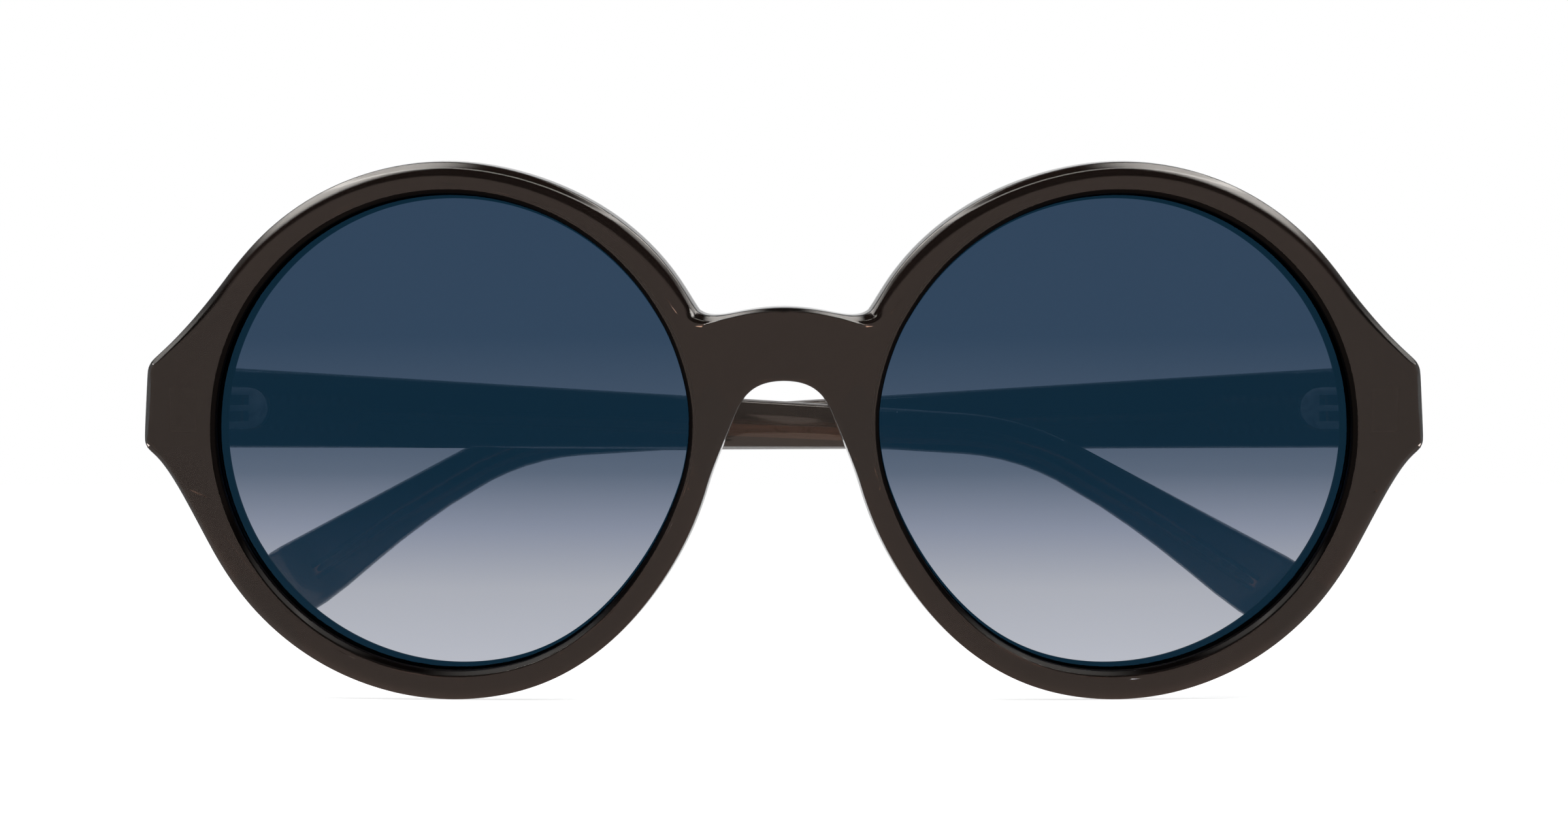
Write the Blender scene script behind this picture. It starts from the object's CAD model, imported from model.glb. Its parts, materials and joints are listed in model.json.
"""Looks for round sunglasses with a gradient tint, standing folded on their rims.

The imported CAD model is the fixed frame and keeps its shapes. Polished copies stand for its
acetate and steel pieces, and both lenses and both hinge screws are modelled anew. All sizes are
in metres in the CAD's own frame: +X to the viewer's right, +Z up, and the front faces -Y. Sides
are named by the wearer.
"""

from __future__ import annotations

import json
import logging
import math
from collections.abc import Callable
from dataclasses import dataclass, field
from enum import Enum

import bpy
from mathutils import Matrix, Vector

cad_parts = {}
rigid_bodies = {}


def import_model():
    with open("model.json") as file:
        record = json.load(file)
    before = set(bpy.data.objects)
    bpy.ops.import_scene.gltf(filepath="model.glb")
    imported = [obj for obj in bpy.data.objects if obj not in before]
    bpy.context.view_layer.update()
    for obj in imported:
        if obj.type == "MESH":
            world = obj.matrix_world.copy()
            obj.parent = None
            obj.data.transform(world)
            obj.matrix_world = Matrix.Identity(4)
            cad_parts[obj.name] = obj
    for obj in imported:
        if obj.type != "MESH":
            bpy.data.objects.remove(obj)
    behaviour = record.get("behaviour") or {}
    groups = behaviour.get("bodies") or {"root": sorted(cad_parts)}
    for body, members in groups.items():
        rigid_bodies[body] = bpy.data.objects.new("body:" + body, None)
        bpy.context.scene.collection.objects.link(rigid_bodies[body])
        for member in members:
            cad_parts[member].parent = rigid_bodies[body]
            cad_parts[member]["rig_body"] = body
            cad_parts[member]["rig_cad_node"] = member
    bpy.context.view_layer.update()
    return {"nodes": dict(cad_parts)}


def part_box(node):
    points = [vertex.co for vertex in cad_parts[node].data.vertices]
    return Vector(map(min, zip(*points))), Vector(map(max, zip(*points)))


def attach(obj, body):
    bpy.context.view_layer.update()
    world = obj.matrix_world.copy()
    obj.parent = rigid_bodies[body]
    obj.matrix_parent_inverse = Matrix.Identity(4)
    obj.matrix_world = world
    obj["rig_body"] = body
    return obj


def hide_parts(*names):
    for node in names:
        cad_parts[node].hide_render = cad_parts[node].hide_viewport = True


log = logging.getLogger("sunglasses")

MM = 0.001
Colour = tuple[float, float, float, float]


class Side(Enum):
    """The wearer's sides, with the sign of their X."""

    RIGHT = -1
    LEFT = 1

    @property
    def prefix(self) -> str:
        """Start of the names of this side's pieces."""
        return self.name.lower()


class ShaderSheet:
    """One node tree being laid out, for a material or for a group."""

    def __init__(self, tree: bpy.types.NodeTree) -> None:
        """Starts on an empty tree.

        Args:
            tree: The node tree, whose nodes are cleared.
        """
        self.tree = tree
        tree.nodes.clear()

    def add(self, kind: str, **settings: object) -> bpy.types.Node:
        """Adds a node.

        Args:
            kind: The node's type name, without its ShaderNode part.
            settings: Properties of the node, or values of its inputs where the name is in
                the form of the input with underscores for spaces.

        Returns:
            The new node.
        """
        node = self.tree.nodes.new("ShaderNode" + kind)
        for name, value in settings.items():
            if hasattr(node, name):
                setattr(node, name, value)
            else:
                node.inputs[name.replace("_", " ")].default_value = value
        return node

    def join(self, source: bpy.types.NodeSocket, target: bpy.types.NodeSocket) -> None:
        """Links an output to an input."""
        self.tree.links.new(source, target)

    def math(self, operation: str, first: object, second: object = 0.0) -> bpy.types.NodeSocket:
        """Adds a Math node.

        Args:
            operation: Its operation, such as MULTIPLY.
            first: A socket or a number.
            second: A socket or a number.

        Returns:
            The node's value.
        """
        node = self.add("Math", operation=operation)
        for slot, value in zip(node.inputs, (first, second)):
            if isinstance(value, bpy.types.NodeSocket):
                self.join(value, slot)
            else:
                slot.default_value = value
        return node.outputs[0]

    def mix(
        self, factor: bpy.types.NodeSocket, first: object, second: object
    ) -> bpy.types.NodeSocket:
        """Adds a mix of two colours.

        Args:
            factor: 0 for the first colour and 1 for the second.
            first: A socket or a colour.
            second: A socket or a colour.

        Returns:
            The mixed colour.
        """
        node = self.add("Mix", data_type="RGBA")
        self.join(factor, node.inputs[0])
        for slot, value in zip(node.inputs[6:8], (first, second)):
            if isinstance(value, bpy.types.NodeSocket):
                self.join(value, slot)
            else:
                slot.default_value = value
        return node.outputs[2]

    def ramp(
        self, factor: bpy.types.NodeSocket, stops: list[tuple[float, Colour]]
    ) -> bpy.types.NodeSocket:
        """Adds a colour ramp.

        Args:
            factor: What drives it.
            stops: Places from 0 to 1 and their colours, in order.

        Returns:
            The ramp's colour.
        """
        node = self.add("ValToRGB")
        band = node.color_ramp
        band.interpolation = "LINEAR"
        while len(band.elements) < len(stops):
            band.elements.new(0.5)
        for element, (place, colour) in zip(band.elements, stops):
            element.position = place
            element.color = colour
        self.join(factor, node.inputs["Fac"])
        return node.outputs["Color"]


class SurfaceEffects:
    """Shader groups that more than one finish uses, each built once."""

    CLOUD = "Cast cloud"
    HANDLING = "Handling marks"
    BROAD_SHARE = 0.8
    FINE_SHARE = 0.2
    FINE_RATIO = 9.0
    SMEAR_EDGES = (0.48, 0.72)

    @staticmethod
    def _start(name: str, inputs: dict[str, float], outputs: list[str]) -> ShaderSheet:
        """Begins a group with float inputs and outputs.

        Args:
            name: The group's name.
            inputs: Names and starting values of its inputs.
            outputs: Names of its outputs.

        Returns:
            The sheet, with its group input and output nodes in place.
        """
        tree = bpy.data.node_groups.new(name, "ShaderNodeTree")
        for label, value in inputs.items():
            socket = tree.interface.new_socket(
                name=label, in_out="INPUT", socket_type="NodeSocketFloat"
            )
            socket.default_value = value
        for label in outputs:
            tree.interface.new_socket(name=label, in_out="OUTPUT", socket_type="NodeSocketFloat")
        sheet = ShaderSheet(tree)
        tree.nodes.new("NodeGroupInput")
        tree.nodes.new("NodeGroupOutput")
        return sheet

    @classmethod
    def cloud(cls) -> bpy.types.NodeTree:
        """Soft drifts of pigment in a cast sheet.

        Returns:
            A group that gives a Tone around 1, from the drifts' size and strength.
        """
        if cls.CLOUD in bpy.data.node_groups:
            return bpy.data.node_groups[cls.CLOUD]
        sheet = cls._start(cls.CLOUD, {"Scale": 60.0, "Strength": 0.1}, ["Tone"])
        source = sheet.tree.nodes["Group Input"]
        place = sheet.add("TexCoord").outputs["Object"]
        broad = sheet.add("TexNoise", Detail=3.0, Roughness=0.45, Distortion=0.6)
        sheet.join(place, broad.inputs["Vector"])
        sheet.join(source.outputs["Scale"], broad.inputs["Scale"])
        fine = sheet.add("TexNoise", Detail=2.0, Roughness=0.6)
        sheet.join(place, fine.inputs["Vector"])
        finer = sheet.math("MULTIPLY", source.outputs["Scale"], cls.FINE_RATIO)
        sheet.join(finer, fine.inputs["Scale"])
        mixed = sheet.math(
            "ADD",
            sheet.math("MULTIPLY", broad.outputs["Fac"], cls.BROAD_SHARE),
            sheet.math("MULTIPLY", fine.outputs["Fac"], cls.FINE_SHARE),
        )
        swing = sheet.math("MULTIPLY", sheet.math("SUBTRACT", mixed, 0.5), 2.0)
        tone = sheet.math("ADD", sheet.math("MULTIPLY", swing, source.outputs["Strength"]), 1.0)
        sheet.join(tone, sheet.tree.nodes["Group Output"].inputs["Tone"])
        return sheet.tree

    @classmethod
    def handling(cls) -> bpy.types.NodeTree:
        """Faint smears on a surface that is picked up often.

        Returns:
            A group that gives a Smear mask, from the smears' scale.
        """
        if cls.HANDLING in bpy.data.node_groups:
            return bpy.data.node_groups[cls.HANDLING]
        sheet = cls._start(cls.HANDLING, {"Smear Scale": 110.0}, ["Smear"])
        source = sheet.tree.nodes["Group Input"]
        place = sheet.add("TexCoord").outputs["Object"]
        smear = sheet.add("TexNoise", Detail=4.0, Roughness=0.55, Distortion=1.2)
        sheet.join(place, smear.inputs["Vector"])
        sheet.join(source.outputs["Smear Scale"], smear.inputs["Scale"])
        patch = sheet.add("MapRange", interpolation_type="SMOOTHSTEP")
        patch.inputs["From Min"].default_value = cls.SMEAR_EDGES[0]
        patch.inputs["From Max"].default_value = cls.SMEAR_EDGES[1]
        sheet.join(smear.outputs["Fac"], patch.inputs["Value"])
        sheet.join(patch.outputs["Result"], sheet.tree.nodes["Group Output"].inputs["Smear"])
        return sheet.tree


class Finish:
    """Shared start of every finish: a material with a Principled shader and its output."""

    name: str

    def _open(self) -> tuple[ShaderSheet, bpy.types.Material, bpy.types.Node]:
        """Starts the material.

        Returns:
            Its sheet, the material and its Principled node, already joined to the output.
        """
        material = bpy.data.materials.new(self.name)
        material.use_nodes = True
        sheet = ShaderSheet(material.node_tree)
        shader = sheet.add("BsdfPrincipled")
        output = sheet.add("OutputMaterial")
        sheet.join(shader.outputs["BSDF"], output.inputs["Surface"])
        return sheet, material, shader

    @staticmethod
    def _group(sheet: ShaderSheet, tree: bpy.types.NodeTree, **values: float) -> bpy.types.Node:
        """Places a shader group.

        Args:
            sheet: The material's sheet.
            tree: The group.
            values: The group's inputs, with underscores for spaces.

        Returns:
            The group node.
        """
        node = sheet.tree.nodes.new("ShaderNodeGroup")
        node.node_tree = tree
        for label, value in values.items():
            node.inputs[label.replace("_", " ")].default_value = value
        return node

    def _cloud(
        self, sheet: ShaderSheet, shader: bpy.types.Node, tone: object, size: float, strength: float
    ) -> None:
        """Gives the shader a colour with soft drifts in it.

        Args:
            sheet: The material's sheet.
            shader: Its Principled node.
            tone: The colour, or a socket that gives it.
            size: Scale of the drifts.
            strength: How far they swing.
        """
        cloud = self._group(sheet, SurfaceEffects.cloud(), Scale=size, Strength=strength)
        tint = sheet.add("VectorMath", operation="SCALE")
        if isinstance(tone, bpy.types.NodeSocket):
            sheet.join(tone, tint.inputs[0])
        else:
            tint.inputs[0].default_value = tone[:3]
        sheet.join(cloud.outputs["Tone"], tint.inputs["Scale"])
        sheet.join(tint.outputs["Vector"], shader.inputs["Base Color"])

    def _smear(
        self, sheet: ShaderSheet, shader: bpy.types.Node, size: float, span: tuple[float, float]
    ) -> bpy.types.NodeSocket:
        """Makes the surface rougher where it is smeared.

        Args:
            sheet: The material's sheet.
            shader: Its Principled node.
            size: Scale of the smears.
            span: Roughness where it is clean and where it is smeared.

        Returns:
            The mask of the smears.
        """
        handling = self._group(sheet, SurfaceEffects.handling(), Smear_Scale=size)
        gloss = sheet.add("MapRange")
        gloss.inputs["To Min"].default_value, gloss.inputs["To Max"].default_value = span
        sheet.join(handling.outputs["Smear"], gloss.inputs["Value"])
        sheet.join(gloss.outputs["Result"], shader.inputs["Roughness"])
        return handling.outputs["Smear"]


@dataclass(frozen=True)
class AcetateFinish(Finish):
    """Polished cellulose acetate, clear enough to see the hinges through it."""

    name: str = "smoke_acetate"
    tint: Colour = (0.84, 0.66, 0.56, 1.0)
    clearness: float = 0.995
    absorption: Colour = (0.32, 0.20, 0.10, 1.0)
    density: float = 2000.0
    ior: float = 1.49
    polish: float = 0.035
    smear_polish: float = 0.075
    cloud_size: float = 70.0
    cloud_strength: float = 0.16
    smear_size: float = 95.0

    def build(self) -> bpy.types.Material:
        """Lays out the acetate: a clouded tint, absorption with depth, and smears.

        Returns:
            The material.
        """
        sheet, material, shader = self._open()
        shader.inputs["IOR"].default_value = self.ior
        shader.inputs["Transmission Weight"].default_value = self.clearness
        self._cloud(sheet, shader, self.tint, self.cloud_size, self.cloud_strength)
        self._smear(sheet, shader, self.smear_size, (self.polish, self.smear_polish))
        depth = sheet.add("VolumeAbsorption")
        depth.inputs["Color"].default_value = self.absorption
        depth.inputs["Density"].default_value = self.density
        output = sheet.tree.nodes["Material Output"]
        sheet.join(depth.outputs["Volume"], output.inputs["Volume"])
        return material


@dataclass(frozen=True)
class CutAcetateFinish(Finish):
    """Acetate where it was cut for the lens, so deep in tone that no light comes through."""

    name: str = "cut_acetate"
    tone: Colour = (0.0014, 0.001, 0.0009, 1.0)
    polish: float = 0.05
    smear_polish: float = 0.12
    gleam: float = 0.05
    ior: float = 1.49
    cloud_size: float = 70.0
    cloud_strength: float = 0.3
    smear_size: float = 160.0

    def build(self) -> bpy.types.Material:
        """Lays out the cut surface: a deep clouded tone and smears.

        Returns:
            The material.
        """
        sheet, material, shader = self._open()
        shader.inputs["IOR"].default_value = self.ior
        shader.inputs["Specular IOR Level"].default_value = self.gleam
        self._cloud(sheet, shader, self.tone, self.cloud_size, self.cloud_strength)
        self._smear(sheet, shader, self.smear_size, (self.polish, self.smear_polish))
        return material


@dataclass(frozen=True)
class LensFinish(Finish):
    """A plastic lens, dipped so that its tint fades down, with a blue coating."""

    name: str = "gradient_lens"
    bottom: float = 2.0 * MM
    top: float = 60.0 * MM
    stops: tuple[tuple[float, Colour], ...] = (
        (0.05, (0.472, 0.492, 0.565, 1.0)),
        (0.19, (0.400, 0.418, 0.48, 1.0)),
        (0.31, (0.238, 0.262, 0.345, 1.0)),
        (0.42, (0.102, 0.124, 0.175, 1.0)),
        (0.52, (0.058, 0.077, 0.119, 1.0)),
        (0.69, (0.029, 0.0445, 0.079, 1.0)),
        (1.0, (0.028, 0.0425, 0.076, 1.0)),
    )
    coating: Colour = (0.08, 0.47, 1.0, 1.0)
    ior: float = 1.7
    polish: float = 0.004
    smear_polish: float = 0.02
    cloud_size: float = 40.0
    cloud_strength: float = 0.02
    smear_size: float = 60.0

    def build(self) -> bpy.types.Material:
        """Lays out the lens: a tint by height, a coloured sheen and the faintest smears.

        Returns:
            The material.
        """
        sheet, material, shader = self._open()
        shader.inputs["IOR"].default_value = self.ior
        shader.inputs["Transmission Weight"].default_value = 1.0
        shader.inputs["Specular Tint"].default_value = self.coating
        place = sheet.add("SeparateXYZ")
        sheet.join(sheet.add("TexCoord").outputs["Object"], place.inputs["Vector"])
        height = sheet.add("MapRange")
        height.inputs["From Min"].default_value = self.bottom
        height.inputs["From Max"].default_value = self.top
        sheet.join(place.outputs["Z"], height.inputs["Value"])
        colour = sheet.ramp(height.outputs["Result"], list(self.stops))
        self._cloud(sheet, shader, colour, self.cloud_size, self.cloud_strength)
        self._smear(sheet, shader, self.smear_size, (self.polish, self.smear_polish))
        return material


class SteelGrain(Enum):
    """How a steel piece was finished, with the stretch of its grain along X, Y and Z."""

    STAMPED = (0.05, 1.0, 1.0)
    TURNED = (1.0, 1.0, 0.08)


@dataclass(frozen=True)
class SteelFinish(Finish):
    """Nickel-silver hinge metal with a fine grain and dulled patches."""

    name: str = "hinge_steel"
    grain: SteelGrain = SteelGrain.STAMPED
    bright: Colour = (0.74, 0.71, 0.67, 1.0)
    dull: Colour = (0.47, 0.45, 0.43, 1.0)
    metallic: float = 0.3
    gloss: float = 0.34
    worn_gloss: float = 0.5
    smear_size: float = 420.0
    line_scale: float = 9000.0
    line_height: float = 0.01 * MM
    line_strength: float = 0.25

    def build(self) -> bpy.types.Material:
        """Lays out the metal: grain drawn one way, duller where hands and dirt reach.

        Returns:
            The material.
        """
        sheet, material, shader = self._open()
        shader.inputs["Metallic"].default_value = self.metallic
        worn = self._smear(sheet, shader, self.smear_size, (self.gloss, self.worn_gloss))
        tone = sheet.ramp(worn, [(0.0, self.bright), (1.0, self.dull)])
        sheet.join(tone, shader.inputs["Base Color"])
        drawn = sheet.add("Mapping")
        drawn.inputs["Scale"].default_value = self.grain.value
        sheet.join(sheet.add("TexCoord").outputs["Object"], drawn.inputs["Vector"])
        lines = sheet.add("TexNoise", Scale=self.line_scale, Detail=2.0)
        sheet.join(drawn.outputs["Vector"], lines.inputs["Vector"])
        bump = sheet.add("Bump", Strength=self.line_strength)
        bump.inputs["Distance"].default_value = self.line_height
        sheet.join(lines.outputs["Fac"], bump.inputs["Height"])
        sheet.join(bump.outputs["Normal"], shader.inputs["Normal"])
        return material


class Bench:
    """Steps of modelling by hand, each on the one object in work."""

    @staticmethod
    def clear() -> None:
        """Deselects every object."""
        for obj in bpy.context.selected_objects:
            obj.select_set(False)

    @staticmethod
    def select(obj: bpy.types.Object) -> None:
        """Makes an object the only one selected, and active."""
        Bench.clear()
        obj.select_set(True)
        bpy.context.view_layer.objects.active = obj

    @staticmethod
    def pick_faces(obj: bpy.types.Object, inside: Callable[[Vector, Vector], bool]) -> None:
        """Selects faces in edit mode by a test of their middle and normal.

        Args:
            obj: The object, in object mode when called and in edit mode after.
            inside: Takes a face's middle and normal and says whether it is wanted.
        """
        Bench.select(obj)
        bpy.ops.object.mode_set(mode="EDIT")
        bpy.ops.mesh.select_mode(type="FACE")
        bpy.ops.mesh.select_all(action="DESELECT")
        bpy.ops.object.mode_set(mode="OBJECT")
        for face in obj.data.polygons:
            face.select = bool(inside(face.center, face.normal))
        bpy.ops.object.mode_set(mode="EDIT")

    @staticmethod
    def apply(obj: bpy.types.Object, kind: str, **settings: object) -> None:
        """Adds a modifier and applies it at once.

        Args:
            obj: The object that it shapes.
            kind: The modifier's type.
            settings: Its properties.
        """
        Bench.select(obj)
        modifier = obj.modifiers.new(kind.lower(), kind)
        for name, value in settings.items():
            setattr(modifier, name, value)
        bpy.ops.object.modifier_apply(modifier=modifier.name)

    @staticmethod
    def settle(obj: bpy.types.Object) -> None:
        """Puts an object's place into its mesh and leaves its origin at the world's."""
        bpy.ops.object.mode_set(mode="OBJECT")
        Bench.select(obj)
        bpy.ops.object.transform_apply(location=True, rotation=True, scale=True)


@dataclass
class LensSeat:
    """Where a lens sits in the front, with the front's wrap and tilt."""

    side: Side
    centre: tuple[float, float, float] = (38.3796 * MM, -8.2076 * MM, 30.8305 * MM)
    wrap: float = math.radians(9.5)
    tilt: float = math.radians(5.7)

    @property
    def place(self) -> Vector:
        """The seat's middle."""
        return Vector((self.side.value * self.centre[0], self.centre[1], self.centre[2]))

    @property
    def across(self) -> Vector:
        """The seat's own direction to the viewer's right."""
        sign = self.side.value
        return Vector(
            (
                math.cos(self.wrap),
                sign * math.sin(self.wrap) * math.cos(self.tilt),
                sign * math.sin(self.wrap) * math.sin(self.tilt),
            )
        )

    @property
    def up(self) -> Vector:
        """The seat's own upward direction."""
        return Vector((0, -math.sin(self.tilt), math.cos(self.tilt)))

    @property
    def ahead(self) -> Vector:
        """The direction that the lens faces."""
        return self.across.cross(self.up)

    def reach(self, middle: Vector, normal: Vector) -> tuple[float, float]:
        """How far a point is from the lens's axis and how much a normal turns towards it.

        Args:
            middle: The point.
            normal: The normal.

        Returns:
            The distance, and the normal's share towards the axis.
        """
        off = middle - self.place
        spoke = off - self.ahead * off.dot(self.ahead)
        return spoke.length, -normal.dot(spoke.normalized())


@dataclass
class PolishedPiece:
    """A CAD piece welded from its facets, with its edges eased and its faces polished smooth."""

    node: str
    slot: str
    edge: float = 0.25 * MM
    edge_angle: float = math.radians(24)
    smooth_angle: float = math.radians(34)
    flat_angle: float = math.radians(0.6)
    weld: float = 0.001 * MM

    def build(self, finish: bpy.types.Material) -> bpy.types.Object:
        """Copies the node and finishes the copy.

        Args:
            finish: The material that it gets.

        Returns:
            The polished piece, riding where the node rides.
        """
        source = bpy.data.objects[self.node]
        body = source["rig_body"]
        Bench.select(source)
        bpy.ops.object.duplicate()
        piece = bpy.context.object
        piece.name = f"{self.node}_polished"
        piece.data.name = piece.name
        del piece["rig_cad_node"]
        bpy.ops.object.mode_set(mode="EDIT")
        bpy.ops.mesh.select_all(action="SELECT")
        bpy.ops.mesh.remove_doubles(threshold=self.weld)
        bpy.ops.object.mode_set(mode="OBJECT")
        self._shape(piece)
        Bench.select(piece)
        bpy.ops.object.shade_smooth_by_angle(angle=self.smooth_angle)
        for slot in piece.material_slots:
            slot.material = finish
        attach(piece, body)
        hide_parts(self.node)
        return piece

    def _shape(self, piece: bpy.types.Object) -> None:
        """Joins the flat facets and eases every edge.

        Args:
            piece: The welded copy.
        """
        Bench.select(piece)
        bpy.ops.object.mode_set(mode="EDIT")
        bpy.ops.mesh.select_all(action="SELECT")
        bpy.ops.mesh.dissolve_limited(angle_limit=self.flat_angle)
        bpy.ops.object.mode_set(mode="OBJECT")
        Bench.apply(
            piece,
            "BEVEL",
            width=self.edge,
            segments=2,
            limit_method="ANGLE",
            angle_limit=self.edge_angle,
            use_clamp_overlap=True,
        )
        Bench.apply(piece, "WEIGHTED_NORMAL", keep_sharp=True)


@dataclass
class PolishedFront(PolishedPiece):
    """The front, with rolled shoulders round its face and curves finer than the facets."""

    roll: float = 0.92 * MM
    full_bevel: float = 1.46 * MM
    crisp_bevel: float = 0.58 * MM
    roll_steps: int = 5
    face_reach: float = math.radians(20)
    bevel_reach: float = math.radians(72)
    least_turn: float = math.radians(15)
    crease_angle: float = math.radians(20)
    rounds: int = 2
    quad_bend: float = math.radians(12)
    quad_skew: float = math.radians(120)
    opening_reach: float = 28.7 * MM
    inner_depth: float = 1.0 * MM
    least_inward: float = 0.2
    rear_facing: float = -0.45
    wall_facing: float = 0.3
    face_facing: float = 0.88
    lip_reach: float = 27.55 * MM
    lip_depths: tuple[float, float] = (3.3 * MM, 4.35 * MM)
    lip_draw: float = 0.9915

    def trim(
        self, piece: bpy.types.Object, bevel: bpy.types.Material, wall: bpy.types.Material
    ) -> None:
        """Gives each opening's bevel and its walls the finishes of cut acetate.

        Args:
            piece: The polished front.
            bevel: Finish of the bevel between the face and the opening.
            wall: Finish of the opening's walls, its groove and rear lip included.
        """
        for finish, deep in ((bevel, False), (wall, True)):
            Bench.select(piece)
            bpy.ops.object.material_slot_add()
            piece.material_slots[-1].material = finish
            for side in Side:
                seat = LensSeat(side)
                Bench.pick_faces(
                    piece, lambda middle, normal: self._is_cut(seat, middle, normal, deep)
                )
                piece.active_material_index = len(piece.material_slots) - 1
                bpy.ops.object.material_slot_assign()
                bpy.ops.object.mode_set(mode="OBJECT")

    def _is_cut(self, seat: LensSeat, middle: Vector, normal: Vector, deep: bool) -> bool:
        """Whether a face belongs to the opening's bevel or to its walls.

        Args:
            seat: The lens's seat in that opening.
            middle: The face's middle.
            normal: The face's normal.
            deep: True to ask for the walls, groove and rear lip, False for the bevel.

        Returns:
            Whether it does.
        """
        away, inward = seat.reach(middle, normal)
        facing = normal.dot(seat.ahead)
        if away > self.opening_reach or facing < self.rear_facing:
            return False
        sunk = (seat.place - middle).dot(seat.ahead) > self.inner_depth
        if deep:
            return sunk or (inward > self.least_inward and facing < self.wall_facing)
        slanted = self.wall_facing <= facing < self.face_facing
        return not sunk and inward > self.least_inward and slanted

    def _widen_lips(self, piece: bpy.types.Object) -> None:
        """Draws each rear lip in behind its lens, most of all on the temple side.

        Args:
            piece: The welded copy.
        """
        for side in Side:
            seat = LensSeat(side)
            Bench.select(piece)
            bpy.ops.object.mode_set(mode="EDIT")
            bpy.ops.mesh.select_mode(type="VERT")
            bpy.ops.mesh.select_all(action="DESELECT")
            bpy.ops.object.mode_set(mode="OBJECT")
            for vertex in piece.data.vertices:
                away, _ = seat.reach(vertex.co, vertex.normal)
                depth = (seat.place - vertex.co).dot(seat.ahead)
                low, high = self.lip_depths
                vertex.select = away < self.lip_reach and low < depth < high
            bpy.ops.object.mode_set(mode="EDIT")
            still = seat.place - side.value * seat.across * self.lip_reach
            bpy.ops.transform.resize(
                value=(self.lip_draw, self.lip_draw, self.lip_draw), center_override=still
            )
            bpy.ops.object.mode_set(mode="OBJECT")

    def _shape(self, piece: bpy.types.Object) -> None:
        """Rolls the shoulders, keeps the other edges crisp and smooths the curves.

        Args:
            piece: The welded copy.
        """
        self._widen_lips(piece)
        Bench.select(piece)
        bpy.ops.object.mode_set(mode="EDIT")
        bpy.ops.mesh.select_all(action="SELECT")
        bpy.ops.mesh.tris_convert_to_quads(
            face_threshold=self.quad_bend, shape_threshold=self.quad_skew
        )
        bpy.ops.object.mode_set(mode="OBJECT")
        self._weigh_shoulders(piece.data)
        Bench.apply(
            piece,
            "BEVEL",
            width=self.roll,
            segments=self.roll_steps,
            limit_method="WEIGHT",
            use_clamp_overlap=False,
            loop_slide=False,
        )
        Bench.select(piece)
        bpy.ops.object.mode_set(mode="EDIT")
        bpy.ops.mesh.select_mode(type="EDGE")
        bpy.ops.mesh.select_all(action="DESELECT")
        bpy.ops.mesh.edges_select_sharp(sharpness=self.crease_angle)
        bpy.ops.transform.edge_crease(value=1)
        bpy.ops.object.mode_set(mode="OBJECT")
        Bench.apply(piece, "SUBSURF", levels=self.rounds, render_levels=self.rounds)

    def _weigh_shoulders(self, mesh: bpy.types.Mesh) -> None:
        """Weighs the edges between the flat face and its bevel by how wide the bevel is.

        Args:
            mesh: The front's mesh.
        """
        slants: dict[tuple[int, int], list[tuple[float, float]]] = {}
        for face in mesh.polygons:
            slant = math.acos(max(-1.0, min(1.0, -face.normal.y)))
            for key in face.edge_keys:
                slants.setdefault(key, []).append((slant, face.area))
        widths: dict[int, float] = {}
        meeting: dict[int, int] = {}
        for edge in mesh.edges:
            flat, (tipped, area) = min(slants[edge.key])[0], max(slants[edge.key])
            if flat < self.face_reach and flat + self.least_turn < tipped < self.bevel_reach:
                a, b = (mesh.vertices[i].co for i in edge.vertices)
                widths[edge.index] = area / (a - b).length
                for vertex in edge.vertices:
                    meeting[vertex] = meeting.get(vertex, 0) + 1
        weights = mesh.attributes.new("bevel_weight_edge", "FLOAT", "EDGE")
        for index, width in widths.items():
            fewest, most = sorted(meeting[v] for v in mesh.edges[index].vertices)
            if fewest > 1 or most < 3:
                share = (width - self.crisp_bevel) / (self.full_bevel - self.crisp_bevel)
                weights.data[index].value = min(1.0, max(0.0, share))


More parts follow.
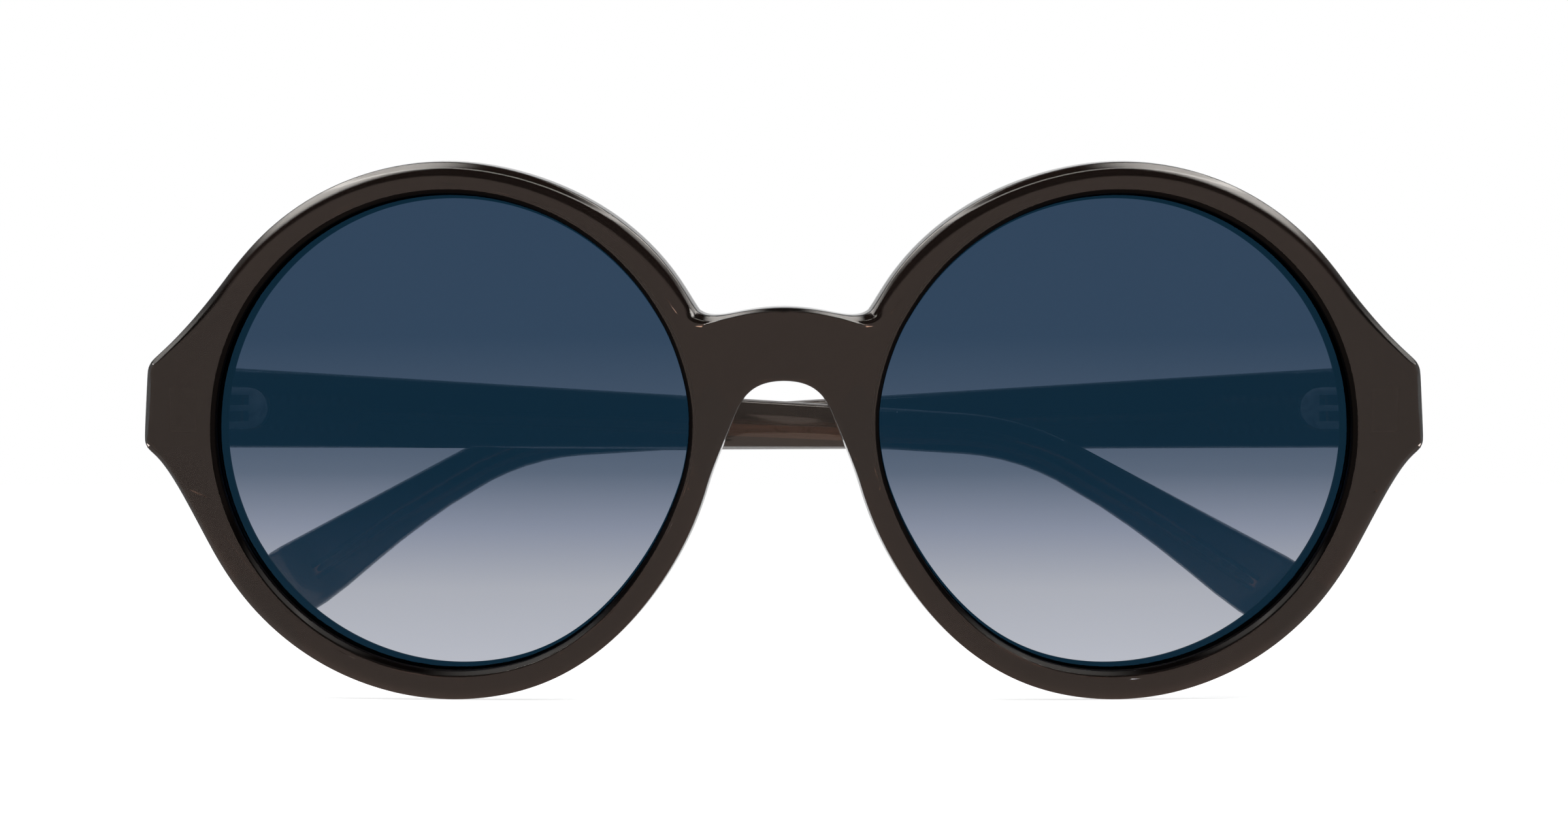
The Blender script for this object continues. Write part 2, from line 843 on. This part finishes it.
@dataclass
class Lens:
    """A dipped plastic lens, ground to one sphere, with a ridge round its edge."""

    side: Side
    width: float = 56.5 * MM
    height: float = 56 * MM
    ridge: float = 0.12 * MM
    thickness: float = 1.8 * MM
    front_radius: float = 132 * MM
    edge_depth: float = 1.4 * MM
    cheek_flat: float = 1.1 * MM
    cheek_angle: float = math.radians(212)
    cheek_spread: float = math.radians(44)
    sides: int = 120
    rings: int = 9
    edge_facing: float = 0.5
    smooth_angle: float = math.radians(25)

    def build(self, finish: bpy.types.Material) -> bpy.types.Object:
        """Models the lens flat, domes it, gives it its thickness and sets it in the front.

        Args:
            finish: The lens's material.

        Returns:
            The lens, riding on the front.
        """
        lens = self._cut_blank()
        self._dome(lens)
        self._grind_edge(lens)
        self._set_in_place(lens)
        lens.data.materials.clear()
        lens.data.materials.append(finish)
        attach(lens, "front")
        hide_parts(f"{self.side.prefix}_lens")
        return lens

    def _cut_blank(self) -> bpy.types.Object:
        """Cuts the flat outline and fills it with rings that close in on its middle.

        Returns:
            The flat blank, lying in the XY plane with its face up.
        """
        radius = self.height / 2 - self.ridge
        Bench.clear()
        bpy.ops.mesh.primitive_circle_add(
            vertices=self.sides, radius=radius, fill_type="NOTHING", location=(0, 0, 0)
        )
        blank = bpy.context.object
        blank.name = f"{self.side.prefix}_gradient_lens"
        bpy.ops.object.mode_set(mode="EDIT")
        wider = 1 + (self.width - self.height) / 2 / radius
        bpy.ops.transform.resize(value=(wider, 1, 1))
        bpy.ops.mesh.select_all(action="DESELECT")
        bpy.ops.object.mode_set(mode="OBJECT")
        away = Vector((self.side.value * math.cos(self.cheek_angle), math.sin(self.cheek_angle), 0))
        nearest = max(blank.data.vertices, key=lambda v: v.co.dot(away))
        nearest.select = True
        bpy.ops.object.mode_set(mode="EDIT")
        bpy.ops.mesh.select_mode(type="VERT")
        bpy.ops.transform.translate(
            value=-away * self.cheek_flat,
            use_proportional_edit=True,
            proportional_edit_falloff="SMOOTH",
            proportional_size=2 * radius * math.sin(self.cheek_spread / 2),
        )
        bpy.ops.mesh.select_all(action="SELECT")
        for ring in range(self.rings, 1, -1):
            bpy.ops.mesh.extrude_region_move()
            closer = (ring - 1) / ring
            bpy.ops.transform.resize(value=(closer, closer, 1), center_override=(0, 0, 0))
        bpy.ops.mesh.edge_face_add()
        bpy.ops.mesh.poke()
        bpy.ops.mesh.select_all(action="SELECT")
        bpy.ops.mesh.normals_make_consistent(inside=False)
        bpy.ops.object.mode_set(mode="OBJECT")
        if blank.data.polygons[0].normal.z < 0:
            bpy.ops.object.mode_set(mode="EDIT")
            bpy.ops.mesh.flip_normals()
        bpy.ops.object.mode_set(mode="OBJECT")
        return blank

    def _dome(self, lens: bpy.types.Object) -> None:
        """Casts the blank onto the lens's sphere and thickens it towards the back.

        Args:
            lens: The flat blank.
        """
        radius = self.height / 2 - self.ridge
        reach = math.sqrt(self.front_radius**2 - radius**2)
        Bench.clear()
        bpy.ops.object.empty_add(location=(0, 0, -self.edge_depth - reach))
        middle = bpy.context.object
        lens.location.z = -self.edge_depth
        Bench.settle(lens)
        Bench.apply(
            lens,
            "CAST",
            cast_type="SPHERE",
            factor=1.0,
            size=self.front_radius,
            use_radius_as_size=False,
            object=middle,
        )
        bpy.data.objects.remove(middle)
        Bench.apply(lens, "SOLIDIFY", thickness=self.thickness, offset=-1.0)

    def _grind_edge(self, lens: bpy.types.Object) -> None:
        """Raises the ridge that sits in the groove."""
        Bench.pick_faces(lens, lambda middle, normal: abs(normal.z) < self.edge_facing)
        bpy.ops.mesh.inset(thickness=self.ridge, depth=self.ridge)
        bpy.ops.object.mode_set(mode="OBJECT")
        Bench.select(lens)
        bpy.ops.object.shade_smooth_by_angle(angle=self.smooth_angle)

    def _set_in_place(self, lens: bpy.types.Object) -> None:
        """Turns the lens with the front's wrap and tilt and moves it to its seat."""
        seat = LensSeat(self.side)
        turn = Matrix((seat.across, seat.up, seat.ahead)).transposed()
        lens.matrix_world = Matrix.Translation(seat.place) @ turn.to_4x4()
        Bench.settle(lens)


@dataclass
class HingeScrew:
    """A slotted hinge screw that stands for the plain one of the CAD."""

    side: Side
    head_radius: float = 0.78 * MM
    shank_radius: float = 0.5 * MM
    head_height: float = 0.35 * MM
    slot_width: float = 0.26 * MM
    slot_depth: float = 0.17 * MM
    chamfer: float = 0.06 * MM
    sides: int = 48
    level: float = 0.9
    sharp_angle: float = math.radians(50)
    smooth_angle: float = math.radians(40)

    def build(self, metal: bpy.types.Material) -> bpy.types.Object:
        """Models the screw on its hinge axis.

        Args:
            metal: The screw's finish.

        Returns:
            The finished screw, riding on the front.
        """
        node = f"{self.side.prefix}_hinge_screw"
        low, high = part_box(node)
        middle = (low + high) / 2
        Bench.clear()
        bpy.ops.mesh.primitive_cylinder_add(
            vertices=self.sides,
            radius=self.head_radius,
            depth=self.head_height,
            location=(middle.x, middle.y, high.z - self.head_height / 2),
        )
        screw = bpy.context.object
        screw.name = f"{self.side.prefix}_slotted_screw"
        Bench.settle(screw)
        self._draw_shank(screw, low.z)
        self._cut_slot(screw, high.z)
        self._round_edges(screw)
        screw.data.materials.clear()
        screw.data.materials.append(metal)
        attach(screw, "front")
        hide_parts(node)
        return screw

    def _draw_shank(self, screw: bpy.types.Object, bottom: float) -> None:
        """Insets the head's underside and extrudes the shank down to its end.

        Args:
            screw: The screw so far.
            bottom: Height of the shank's end.
        """
        Bench.pick_faces(screw, lambda middle, normal: normal.z < -self.level)
        bpy.ops.mesh.inset(thickness=self.head_radius - self.shank_radius, depth=0)
        under = min(v.co.z for v in screw.data.vertices)
        bpy.ops.mesh.extrude_region_move(
            TRANSFORM_OT_translate={"value": (0, 0, bottom - under)}
        )
        bpy.ops.object.mode_set(mode="OBJECT")

    def _cut_slot(self, screw: bpy.types.Object, top: float) -> None:
        """Splits the head's top by two planes and sinks the strip between them.

        Args:
            screw: The screw so far.
            top: Height of the head's top.
        """
        middle_y = min(v.co.y for v in screw.data.vertices) + self.head_radius
        for sign in (-1, 1):
            Bench.pick_faces(screw, lambda middle, normal: normal.z > self.level)
            bpy.ops.mesh.bisect(
                plane_co=(0, middle_y + sign * self.slot_width / 2, top),
                plane_no=(0, 1, 0),
            )
            bpy.ops.object.mode_set(mode="OBJECT")
        Bench.pick_faces(
            screw,
            lambda middle, normal: normal.z > self.level
            and abs(middle.y - middle_y) < self.slot_width / 2,
        )
        bpy.ops.mesh.extrude_region_move(
            TRANSFORM_OT_translate={"value": (0, 0, -self.slot_depth)}
        )
        bpy.ops.object.mode_set(mode="OBJECT")

    def _round_edges(self, screw: bpy.types.Object) -> None:
        """Breaks the screw's sharp edges and smooths the rest."""
        Bench.apply(
            screw,
            "BEVEL",
            width=self.chamfer,
            segments=2,
            limit_method="ANGLE",
            angle_limit=self.sharp_angle,
        )
        bpy.ops.object.shade_smooth_by_angle(angle=self.smooth_angle)


@dataclass
class Frame:
    """The CAD pieces and the new ones on them, dressed in their finishes."""

    nodes: dict[str, bpy.types.Object]
    acetate: AcetateFinish = AcetateFinish()
    milky: AcetateFinish = AcetateFinish(name="temple_acetate", clearness=0.965)
    cut: CutAcetateFinish = CutAcetateFinish()
    groove: CutAcetateFinish = CutAcetateFinish(
        name="groove_acetate", polish=0.5, smear_polish=0.6, gleam=0.02
    )
    lens: LensFinish = LensFinish()
    stamped: SteelFinish = SteelFinish()
    turned: SteelFinish = SteelFinish(name="screw_steel", grain=SteelGrain.TURNED)
    steel_edge: float = 0.05 * MM
    made: list[bpy.types.Object] = field(default_factory=list)

    def dress(self) -> None:
        """Gives every CAD node its finish, fits the lenses and polishes copies of the rest."""
        acetate, lens, steel = self.acetate.build(), self.lens.build(), self.stamped.build()
        milky = self.milky.build()
        for name, node in self.nodes.items():
            if name.endswith("_lens"):
                finish = lens
            elif name.endswith(("_hinge", "_screw", "_wire")):
                finish = steel
            elif name.endswith("_temple"):
                finish = milky
            else:
                finish = acetate
            for slot in node.material_slots:
                slot.material = finish
            log.info("dressed %s in %s", name, finish.name)
        for side in Side:
            self.made.append(Lens(side).build(lens))
            for part, finish in (("temple", milky), ("nose_pad", acetate)):
                piece = PolishedPiece(f"{side.prefix}_{part}", "acetate")
                self.made.append(piece.build(finish))
            for part in ("temple_hinge", "front_hinge", "core_wire"):
                piece = PolishedPiece(f"{side.prefix}_{part}", "steel", edge=self.steel_edge)
                self.made.append(piece.build(steel))
        polished = PolishedFront("front", "acetate")
        front = polished.build(acetate)
        polished.trim(front, self.cut.build(), self.groove.build())
        self.made.append(front)
        for piece in self.made:
            log.info("made %s: %d faces", piece.name, len(piece.data.polygons))

    def fit_screws(self) -> None:
        """Models both hinge screws."""
        metal = self.turned.build()
        for side in Side:
            screw = HingeScrew(side).build(metal)
            self.made.append(screw)
            log.info("made %s", screw.name)


@dataclass(frozen=True)
class SoftBox:
    """One soft box as polished pieces mirror it."""

    away: tuple[float, float, float]
    core: float
    edge: float
    strength: float


@dataclass(frozen=True)
class LightStrip:
    """A long low lamp round the front of the room, as polished edges mirror it."""

    height: float
    spread: float
    strength: float


@dataclass
class Studio:
    """A white sweep, soft lamps overhead and a level camera square to the bridge."""

    camera_place: Vector = field(default_factory=lambda: Vector((0.0, -0.91372, 0.032356)))
    focal_length: float = 180.63
    sensor_width: float = 36.0
    floor_size: float = 6.0
    backdrop_strength: float = 1.0
    room_strength: float = 0.55
    white: Colour = (1.0, 1.0, 1.0, 1.0)
    front_glow: Colour = (0.78, 0.62, 0.54, 1.0)
    gap_glow: Colour = (0.02, 0.02, 0.02, 1.0)
    gap_edges: tuple[float, float] = (0.22, 0.34)
    lamp_tint: Colour = (1.0, 0.955, 0.90, 1.0)
    floor_glow: float = 0.62
    floor_fade: tuple[float, float] = (-0.004, 0.02)
    room_fade: tuple[float, float] = (-0.35, 0.25)
    boxes: tuple[SoftBox, ...] = (
        SoftBox(
            away=(0.56, -0.24, 0.79), core=math.radians(6), edge=math.radians(30), strength=9.0
        ),
    )
    strips: tuple[LightStrip, ...] = (LightStrip(height=0.76, spread=0.05, strength=6.0),)
    strip_front: float = -0.1
    floor_tone: Colour = (0.8, 0.8, 0.8, 1.0)
    clip: tuple[float, float] = (0.01, 50.0)
    lamp_place: tuple[float, float, float] = (0.30, -0.22, 0.62)
    lamp_aim: tuple[float, float, float] = (0.0, 0.0, 0.03)
    lamp_size: tuple[float, float] = (0.34, 0.40)
    lamp_power: float = 3.0

    def set_camera(self) -> bpy.types.Object:
        """Places the camera level with the lenses and looking straight at the front.

        Returns:
            The camera.
        """
        data = bpy.data.cameras.new("camera")
        data.lens = self.focal_length
        data.sensor_width = self.sensor_width
        data.clip_start, data.clip_end = self.clip
        camera = bpy.data.objects.new("camera", data)
        bpy.context.scene.collection.objects.link(camera)
        camera.location = self.camera_place
        camera.rotation_euler = (math.pi / 2, 0.0, 0.0)
        bpy.context.scene.camera = camera
        return camera

    def lay_floor(self) -> bpy.types.Object:
        """Lays the pale floor: shaded by the glasses, and mirrored warm ahead of them.

        Returns:
            The floor.
        """
        Bench.clear()
        bpy.ops.mesh.primitive_plane_add(size=self.floor_size, location=(0, 0, 0))
        floor = bpy.context.object
        floor.name = "floor"
        material = bpy.data.materials.new("pale_floor")
        material.use_nodes = True
        sheet = ShaderSheet(material.node_tree)
        matt = sheet.add("BsdfDiffuse", Color=self.floor_tone)
        glow = sheet.add("Emission", Strength=self.floor_glow)
        lit = sheet.add("AddShader")
        sheet.join(matt.outputs["BSDF"], lit.inputs[0])
        sheet.join(glow.outputs["Emission"], lit.inputs[1])
        place = sheet.add("SeparateXYZ")
        sheet.join(sheet.add("TexCoord").outputs["Object"], place.inputs["Vector"])
        behind = sheet.add("MapRange", interpolation_type="SMOOTHSTEP")
        behind.inputs["From Min"].default_value = self.floor_fade[0]
        behind.inputs["From Max"].default_value = self.floor_fade[1]
        sheet.join(place.outputs["Y"], behind.inputs["Value"])
        mirrored = sheet.add("Emission", Strength=self.backdrop_strength)
        shade = sheet.mix(behind.outputs["Result"], self.front_glow, self.white)
        sheet.join(shade, mirrored.inputs["Color"])
        either = sheet.add("MixShader")
        sheet.join(self._bent_rays(sheet), either.inputs["Fac"])
        sheet.join(lit.outputs["Shader"], either.inputs[1])
        sheet.join(mirrored.outputs["Emission"], either.inputs[2])
        sheet.join(either.outputs["Shader"], sheet.add("OutputMaterial").inputs["Surface"])
        floor.data.materials.append(material)
        return floor

    @staticmethod
    def _bent_rays(sheet: ShaderSheet) -> bpy.types.NodeSocket:
        """A mask of the rays that a polished or a clear piece has turned.

        Args:
            sheet: The sheet of the floor or of the world.

        Returns:
            The mask.
        """
        path = sheet.add("LightPath")
        return sheet.math(
            "MAXIMUM", path.outputs["Is Glossy Ray"], path.outputs["Is Transmission Ray"]
        )

    def _soft_box(
        self, sheet: ShaderSheet, look: bpy.types.NodeSocket, box: SoftBox, side: Side
    ) -> bpy.types.NodeSocket:
        """Adds the mirrored glow of one soft box overhead.

        Args:
            sheet: The world's sheet.
            look: The direction looked in.
            box: Where it hangs and how bright it is.
            side: Which side it hangs on.

        Returns:
            Its strength in that direction.
        """
        facing = sheet.add("VectorMath", operation="DOT_PRODUCT")
        sheet.join(look, facing.inputs[0])
        away = Vector((side.value * box.away[0], box.away[1], box.away[2])).normalized()
        facing.inputs[1].default_value = away
        glow = sheet.add("MapRange", interpolation_type="SMOOTHERSTEP")
        glow.inputs["From Min"].default_value = math.cos(box.edge)
        glow.inputs["From Max"].default_value = math.cos(box.core)
        glow.inputs["To Max"].default_value = box.strength
        sheet.join(facing.outputs["Value"], glow.inputs["Value"])
        return glow.outputs["Result"]

    def _strip_glow(
        self, sheet: ShaderSheet, look: bpy.types.Node, strip: LightStrip
    ) -> bpy.types.NodeSocket:
        """Adds the mirrored glow of a light strip, in front of the glasses only.

        Args:
            sheet: The world's sheet.
            look: The direction looked in, split into X, Y and Z.
            strip: Where it runs and how bright it is.

        Returns:
            Its strength in that direction.
        """
        off = sheet.math("ABSOLUTE", sheet.math("SUBTRACT", look.outputs["Z"], strip.height))
        glow = sheet.add("MapRange", interpolation_type="SMOOTHSTEP")
        glow.inputs["From Min"].default_value = strip.spread
        glow.inputs["From Max"].default_value = 0.0
        glow.inputs["To Max"].default_value = strip.strength
        sheet.join(off, glow.inputs["Value"])
        ahead = sheet.math("LESS_THAN", look.outputs["Y"], self.strip_front)
        return sheet.math("MULTIPLY", glow.outputs["Result"], ahead)

    def light_room(self) -> None:
        """Sets the world: white to the camera, and a warm room, a dark gap and lamps mirrored."""
        world = bpy.data.worlds.new("room")
        bpy.context.scene.world = world
        world.use_nodes = True
        sheet = ShaderSheet(world.node_tree)
        look = sheet.add("TexCoord").outputs["Generated"]
        place = sheet.add("SeparateXYZ")
        sheet.join(look, place.inputs["Vector"])
        level = sheet.add("MapRange", interpolation_type="SMOOTHSTEP")
        level.inputs["From Min"].default_value = self.gap_edges[0]
        level.inputs["From Max"].default_value = self.gap_edges[1]
        sheet.join(place.outputs["Z"], level.inputs["Value"])
        front = sheet.mix(level.outputs["Result"], self.front_glow, self.gap_glow)
        behind = sheet.add("MapRange", interpolation_type="SMOOTHSTEP")
        behind.inputs["From Min"].default_value = self.room_fade[0]
        behind.inputs["From Max"].default_value = self.room_fade[1]
        sheet.join(place.outputs["Y"], behind.inputs["Value"])
        bent = sheet.mix(behind.outputs["Result"], front, self.white)
        glows = [self._soft_box(sheet, look, box, side) for side in Side for box in self.boxes]
        glows += [self._strip_glow(sheet, place, strip) for strip in self.strips]
        lamps = glows[0]
        for glow in glows[1:]:
            lamps = sheet.math("ADD", lamps, glow)
        tinted = sheet.add("VectorMath", operation="SCALE")
        tinted.inputs[0].default_value = self.lamp_tint[:3]
        sheet.join(lamps, tinted.inputs["Scale"])
        lit = sheet.add("VectorMath", operation="ADD")
        sheet.join(bent, lit.inputs[0])
        sheet.join(tinted.outputs["Vector"], lit.inputs[1])
        path = sheet.add("LightPath")
        room = (self.room_strength, self.room_strength, self.room_strength, 1.0)
        plain = sheet.mix(path.outputs["Is Camera Ray"], room, self.white)
        colour = sheet.mix(self._bent_rays(sheet), plain, lit.outputs["Vector"])
        back = sheet.add("Background", Strength=self.backdrop_strength)
        sheet.join(colour, back.inputs["Color"])
        sheet.join(back.outputs["Background"], sheet.add("OutputWorld").inputs["Surface"])

    def hang_lamp(self, side: Side) -> None:
        """Hangs one soft rectangular lamp, which the polished pieces don't mirror.

        Args:
            side: The side that it hangs on.
        """
        name = f"{side.prefix}_overhead"
        data = bpy.data.lights.new(name, "AREA")
        data.shape = "RECTANGLE"
        data.size, data.size_y = self.lamp_size
        data.energy = self.lamp_power
        lamp = bpy.data.objects.new(name, data)
        bpy.context.scene.collection.objects.link(lamp)
        out, ahead, high = self.lamp_place
        lamp.location = Vector((side.value * out, ahead, high))
        aim = Vector(self.lamp_aim) - lamp.location
        lamp.rotation_euler = aim.to_track_quat("-Z", "Y").to_euler()
        lamp.visible_glossy = False
        log.info("hung %s", name)

    def build(self) -> None:
        """Sets up the whole studio."""
        self.set_camera()
        self.lay_floor()
        self.light_room()
        for side in Side:
            self.hang_lamp(side)
        bpy.context.scene.view_settings.view_transform = "Standard"


def main() -> None:
    """Loads the frame, dresses it, fits the screws and sets up the studio."""
    logging.basicConfig(level=logging.INFO, format="%(name)s: %(message)s")
    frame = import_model()
    glasses = Frame(frame["nodes"])
    glasses.dress()
    glasses.fit_screws()
    Studio().build()


if __name__ == "__main__":
    main()
